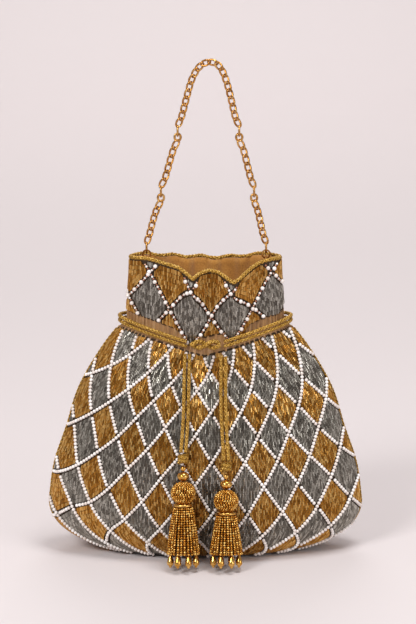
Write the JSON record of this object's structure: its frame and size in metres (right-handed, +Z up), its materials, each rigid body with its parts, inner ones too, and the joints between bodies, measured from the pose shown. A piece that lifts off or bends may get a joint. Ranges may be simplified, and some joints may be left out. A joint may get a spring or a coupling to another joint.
{
  "type": "potli bag",
  "caption": "Round-bottomed drawstring pouch with beaded harlequin panels, gathered collar, tied neck cord with two bead tassels, and a detachable chain handle.",
  "frame": {"origin": "on the ground under the middle of the bag", "axes": "+Z up, -Y out of the front with the tassels, +X to the right seen from the front"},
  "size_m": [0.2426, 0.1231, 0.378],
  "materials": {
    "beadwork": "glass bugle beads in gold and pewter diamonds outlined with pearls, on cloth",
    "satin": "gathered tan satin",
    "suede": "tan suede lining",
    "zari_braid": "braided metallic gold thread",
    "polished_gold": "polished gold-coloured beads",
    "seed_beads": "metallic gold seed beads",
    "chain_gold": "gold-plated chain and fittings"
  },
  "bodies": {
    "bag": {"front_panel": "beadwork", "back_panel": "beadwork", "side_piping": "zari_braid", "collar_front": "beadwork", "collar_back": "beadwork", "neck_band": "satin", "lining_bag": "suede", "rim_braid": "zari_braid", "drawstring_upper": "zari_braid", "drawstring_lower": "zari_braid", "knot_over": "zari_braid", "knot_under": "zari_braid", "strap_tab_left": "suede", "strap_tab_right": "suede", "d_ring_left": "chain_gold", "d_ring_right": "chain_gold", "clasp_body_left": "chain_gold", "clasp_body_right": "chain_gold", "jump_ring_left": "chain_gold", "jump_ring_right": "chain_gold"},
    "handle_lower": {"chain_lower_left": "chain_gold", "chain_lower_right": "chain_gold"},
    "handle_middle": {"chain_middle_left": "chain_gold", "chain_middle_right": "chain_gold"},
    "handle_crown": {"chain_crown": "chain_gold"},
    "clasp_lever_left": {"clasp_lever_left": "chain_gold"},
    "clasp_lever_right": {"clasp_lever_right": "chain_gold"},
    "cord_left": {"cord_left_a": "zari_braid", "cord_left_b": "zari_braid"},
    "tassel_left": {"end_knot_left": "zari_braid", "small_ball_left": "polished_gold", "large_bead_left": "polished_gold", "tassel_bulb_left": "seed_beads", "tassel_binding_left": "polished_gold", "tassel_skirt_left": "seed_beads", "tassel_drop_left_1": "polished_gold", "tassel_drop_left_2": "polished_gold", "tassel_drop_left_3": "polished_gold", "tassel_drop_left_4": "polished_gold", "tassel_drop_left_5": "polished_gold", "tassel_drop_left_6": "polished_gold", "tassel_drop_left_7": "polished_gold", "tassel_drop_left_8": "polished_gold"},
    "cord_right": {"cord_right_a": "zari_braid", "cord_right_b": "zari_braid"},
    "tassel_right": {"end_knot_right": "zari_braid", "small_ball_right": "polished_gold", "large_bead_right": "polished_gold", "tassel_bulb_right": "seed_beads", "tassel_binding_right": "polished_gold", "tassel_skirt_right": "seed_beads", "tassel_drop_right_1": "polished_gold", "tassel_drop_right_2": "polished_gold", "tassel_drop_right_3": "polished_gold", "tassel_drop_right_4": "polished_gold", "tassel_drop_right_5": "polished_gold", "tassel_drop_right_6": "polished_gold", "tassel_drop_right_7": "polished_gold", "tassel_drop_right_8": "polished_gold"}
  },
  "joints": [
    {"name": "handle_swing", "type": "hinge", "parent": "bag", "child": "handle_lower", "pos_m": [0, -0.001, 0.233], "axis": [1, 0, 0], "range_deg": [-75, 75]},
    {"name": "handle_fold_low", "type": "hinge", "parent": "handle_lower", "child": "handle_middle", "pos_m": [0, -0.001, 0.276], "axis": [1, 0, 0], "range_deg": [-60, 60]},
    {"name": "handle_fold_high", "type": "hinge", "parent": "handle_middle", "child": "handle_crown", "pos_m": [0, -0.001, 0.322], "axis": [1, 0, 0], "range_deg": [-60, 60]},
    {"name": "clasp_press_left", "type": "hinge", "parent": "bag", "child": "clasp_lever_left", "pos_m": [-0.04442, 0.0017, 0.2199], "axis": [-1, 0, 0], "range_deg": [0, 28], "stiffness_Nm_per_rad": 0.002, "springref_deg": -5.73},
    {"name": "cord_swing_left", "type": "hinge", "parent": "bag", "child": "cord_left", "pos_m": [-0.0136, -0.02709, 0.1585], "axis": [-1, 0, 0], "range_deg": [0, 70]},
    {"name": "tassel_swing_left", "type": "hinge", "parent": "cord_left", "child": "tassel_left", "pos_m": [-0.0166, -0.0499, 0.0829], "axis": [-1, 0, 0], "range_deg": [0, 45]},
    {"name": "clasp_press_right", "type": "hinge", "parent": "bag", "child": "clasp_lever_right", "pos_m": [0.04589, 0.0017, 0.2199], "axis": [-1, 0, 0], "range_deg": [0, 28], "stiffness_Nm_per_rad": 0.002, "springref_deg": -5.73},
    {"name": "cord_swing_right", "type": "hinge", "parent": "bag", "child": "cord_right", "pos_m": [0.0134, -0.02762, 0.1565], "axis": [-1, 0, 0], "range_deg": [0, 70]},
    {"name": "tassel_swing_right", "type": "hinge", "parent": "cord_right", "child": "tassel_right", "pos_m": [0.0156, -0.05096, 0.0769], "axis": [-1, 0, 0], "range_deg": [0, 45]}
  ]
}
